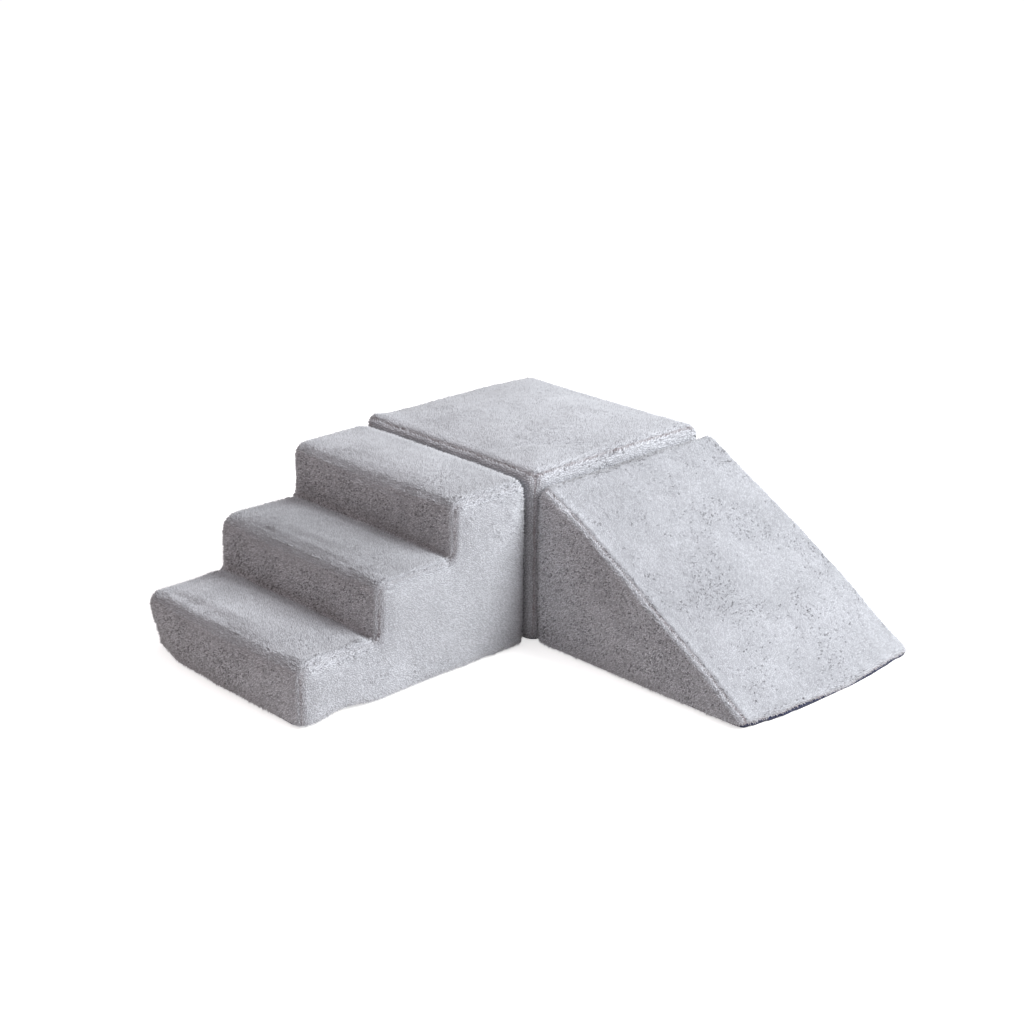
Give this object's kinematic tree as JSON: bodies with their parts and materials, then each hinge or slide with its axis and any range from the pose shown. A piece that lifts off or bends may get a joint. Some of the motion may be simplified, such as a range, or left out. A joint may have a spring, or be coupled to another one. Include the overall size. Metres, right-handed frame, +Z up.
{
  "type": "foam play block set",
  "caption": "Soft climbing set for small children: plush-covered foam stairs, square corner block and slide wedge in an L, joined by hook-and-loop strips.",
  "frame": {"origin": "middle of the corner block's underside, on the floor", "axes": "+Z up; +X from the corner block towards the slide's toe; -Y from the corner block down the stairs"},
  "size_m": [0.8929, 0.9169, 0.305],
  "materials": {
    "plush": "short brushed polyester pile, light cool grey",
    "base_fabric": "navy non-slip woven base cloth with rubber dots",
    "foam": "open-cell polyurethane foam",
    "loop_tape": "napped nylon loop tape",
    "hook_tape": "nylon hook tape",
    "zip_tape": "woven polyester zip tape",
    "zip_teeth": "satin nylon",
    "zip_metal": "nickel-plated zinc"
  },
  "bodies": {
    "corner_block": {"corner_foam_core": "foam", "corner_base": "base_fabric", "corner_top_panel": "plush", "corner_stairs_side_panel": "plush", "corner_slide_side_panel": "plush", "corner_outer_side_panel": "plush", "corner_zip_side_panel": "plush", "corner_lower_loop_strip_stairs": "loop_tape", "corner_upper_loop_strip_stairs": "loop_tape", "corner_lower_loop_strip_slide": "loop_tape", "corner_upper_loop_strip_slide": "loop_tape", "corner_zip_upper_tape": "zip_tape", "corner_zip_lower_tape": "zip_tape", "corner_zip_upper_chain": "zip_teeth", "corner_zip_lower_chain": "zip_teeth"},
    "stairs_block": {"stairs_foam_core": "foam", "stairs_base": "base_fabric", "stairs_tread_strip": "plush", "stairs_back_panel": "plush", "stairs_near_side_panel": "plush", "stairs_zip_side_panel": "plush", "stairs_lower_hook_strip": "hook_tape", "stairs_upper_hook_strip": "hook_tape", "stairs_zip_upper_tape": "zip_tape", "stairs_zip_lower_tape": "zip_tape", "stairs_zip_upper_chain": "zip_teeth", "stairs_zip_lower_chain": "zip_teeth"},
    "slide_block": {"slide_foam_core": "foam", "slide_base": "base_fabric", "slide_slope_panel": "plush", "slide_back_panel": "plush", "slide_near_side_panel": "plush", "slide_zip_side_panel": "plush", "slide_lower_hook_strip": "hook_tape", "slide_upper_hook_strip": "hook_tape", "slide_zip_upper_tape": "zip_tape", "slide_zip_lower_tape": "zip_tape", "slide_zip_upper_chain": "zip_teeth", "slide_zip_lower_chain": "zip_teeth"},
    "corner_slider": {"corner_zip_slider": "zip_metal"},
    "corner_pull": {"corner_zip_pull": "zip_metal"},
    "stairs_slider": {"stairs_zip_slider": "zip_metal"},
    "stairs_pull": {"stairs_zip_pull": "zip_metal"},
    "slide_slider": {"slide_zip_slider": "zip_metal"},
    "slide_pull": {"slide_zip_pull": "zip_metal"}
  },
  "joints": [
    {"name": "stairs_pull_off", "type": "slide", "parent": "corner_block", "child": "stairs_block", "axis": [0, -1, 0], "range_m": [0, 0.35]},
    {"name": "slide_pull_off", "type": "slide", "parent": "corner_block", "child": "slide_block", "axis": [1, 0, 0], "range_m": [0, 0.35]},
    {"name": "corner_zip_run", "type": "slide", "parent": "corner_block", "child": "corner_slider", "axis": [1, 0, 0], "range_m": [0, 0.2984], "deforming": ["corner_zip_upper_chain", "corner_zip_lower_chain"]},
    {"name": "stairs_zip_run", "type": "slide", "parent": "stairs_block", "child": "stairs_slider", "axis": [0, 1, 0], "range_m": [0, 0.2984], "deforming": ["stairs_zip_upper_chain", "stairs_zip_lower_chain"]},
    {"name": "slide_zip_run", "type": "slide", "parent": "slide_block", "child": "slide_slider", "axis": [1, 0, 0], "range_m": [0, 0.2984], "deforming": ["slide_zip_upper_chain", "slide_zip_lower_chain"]},
    {"name": "corner_pull_turn", "type": "hinge", "parent": "corner_slider", "child": "corner_pull", "pos_m": [-0.1492, 0.2065, 0.042], "axis": [0, 0, 1], "range_deg": [0, 180]},
    {"name": "stairs_pull_turn", "type": "hinge", "parent": "stairs_slider", "child": "stairs_pull", "pos_m": [-0.21, -0.5431, 0.042], "axis": [0, 0, 1], "range_deg": [0, 180]},
    {"name": "slide_pull_turn", "type": "hinge", "parent": "slide_slider", "child": "slide_pull", "pos_m": [0.2547, 0.2215, 0.042], "axis": [0, 0, 1], "range_deg": [0, 180]}
  ]
}
